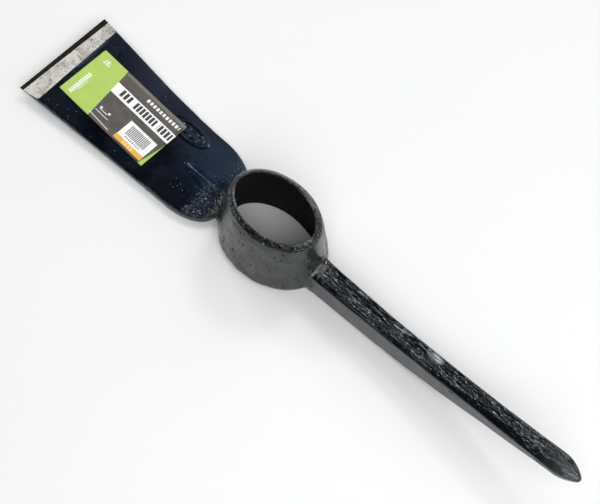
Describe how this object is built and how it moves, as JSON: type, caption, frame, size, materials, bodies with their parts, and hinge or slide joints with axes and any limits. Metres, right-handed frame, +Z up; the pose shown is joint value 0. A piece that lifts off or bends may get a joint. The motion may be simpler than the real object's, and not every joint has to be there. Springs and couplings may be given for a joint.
{
  "type": "pick mattock head",
  "caption": "Forged steel digging head with a broad adze blade, a tapered oval eye for a handle and a tapering pick, with a printed label on the blade.",
  "frame": {"origin": "on the resting face at the large end of the eye, under the middle of the head's bounding box", "axes": "+X along the head from the blade's cutting edge to the pick's point, +Z up the eye from its large end to its small, handle-side rim, +Y across the blade"},
  "size_m": [0.532, 0.0926, 0.0668],
  "materials": {
    "blue_black_paint": "thin blue-black paint over rough forged steel, satin to glossy",
    "grey_forged_steel": "thin grey-black paint over forged steel, satin, pitted",
    "printed_label": "glossy printed adhesive label in green, dark grey, white and orange"
  },
  "bodies": {
    "root": {"adze_blade": "blue_black_paint", "eye_socket": "grey_forged_steel", "pick_arm": "grey_forged_steel", "label": "printed_label"}
  },
  "joints": []
}
